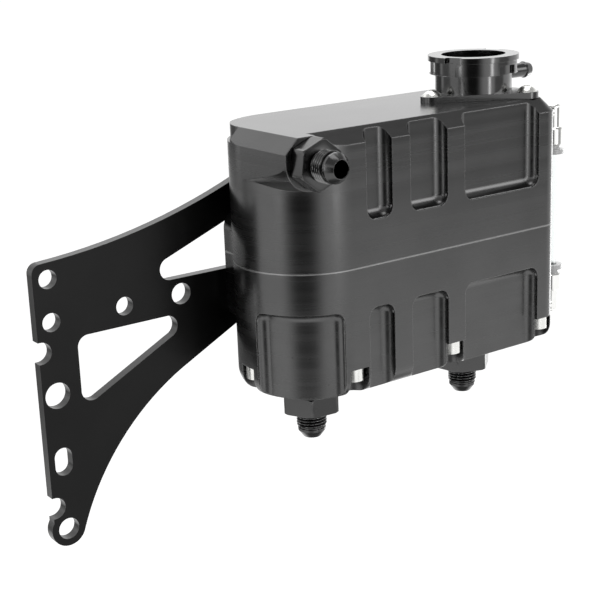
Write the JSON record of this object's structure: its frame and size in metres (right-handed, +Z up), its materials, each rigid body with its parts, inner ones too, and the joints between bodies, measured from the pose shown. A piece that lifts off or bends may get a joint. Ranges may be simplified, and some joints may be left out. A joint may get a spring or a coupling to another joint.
{
  "type": "coolant expansion tank",
  "caption": "Machined two-part coolant expansion tank on a flat bracket arm, with flanged filler neck, threaded hose fittings, overflow spout and a clear level tube.",
  "frame": {"origin": "centre of the top mounting hole, on the back face of the bracket plate", "axes": "+X along the tank from the bracket's outer edge to the sight tube, +Y back into the vehicle panel, +Z up"},
  "size_m": [0.2708, 0.0947, 0.2038],
  "materials": {
    "anodised_shell": "black anodised, satin, fine machining lines",
    "bright_gasket": "bare bright edge",
    "stainless_screw": "bright stainless",
    "anodised_neck": "black anodised, turned and milled",
    "black_seal": "black rubber",
    "anodised_fitting": "glossy black anodised",
    "plated_elbow": "bright nickel plate",
    "collar_plastic": "smooth pale plastic",
    "clear_tube": "clear tube",
    "anodised_bracket": "black anodised plate, lighter cut edges",
    "black_screw": "black oxide"
  },
  "bodies": {
    "tank": {"upper_shell": "anodised_shell", "lower_shell": "anodised_shell", "shell_gasket": "bright_gasket", "shell_screws": "stainless_screw", "filler_neck": "anodised_neck", "neck_seal": "black_seal", "neck_screws": "stainless_screw", "overflow_barb": "anodised_fitting", "side_fitting": "anodised_fitting", "side_seal": "black_seal", "left_outlet": "anodised_fitting", "left_outlet_seal": "black_seal", "right_outlet": "anodised_fitting", "right_outlet_seal": "black_seal", "upper_elbow": "plated_elbow", "upper_elbow_washer": "black_seal", "upper_tube_seal": "black_seal", "upper_grip_ring": "stainless_screw", "lower_elbow": "plated_elbow", "lower_elbow_washer": "black_seal", "lower_tube_seal": "black_seal", "lower_grip_ring": "stainless_screw", "sight_tube": "clear_tube", "mounting_bracket": "anodised_bracket", "bracket_screws": "black_screw"},
    "upper_collar": {"upper_release_collar": "collar_plastic"},
    "lower_collar": {"lower_release_collar": "collar_plastic"}
  },
  "joints": [
    {"name": "upper_collar_press", "type": "slide", "parent": "tank", "child": "upper_collar", "axis": [0, 0, 1], "range_m": [0, 0.001]},
    {"name": "lower_collar_press", "type": "slide", "parent": "tank", "child": "lower_collar", "axis": [0, 0, -1], "range_m": [0, 0.001]}
  ]
}
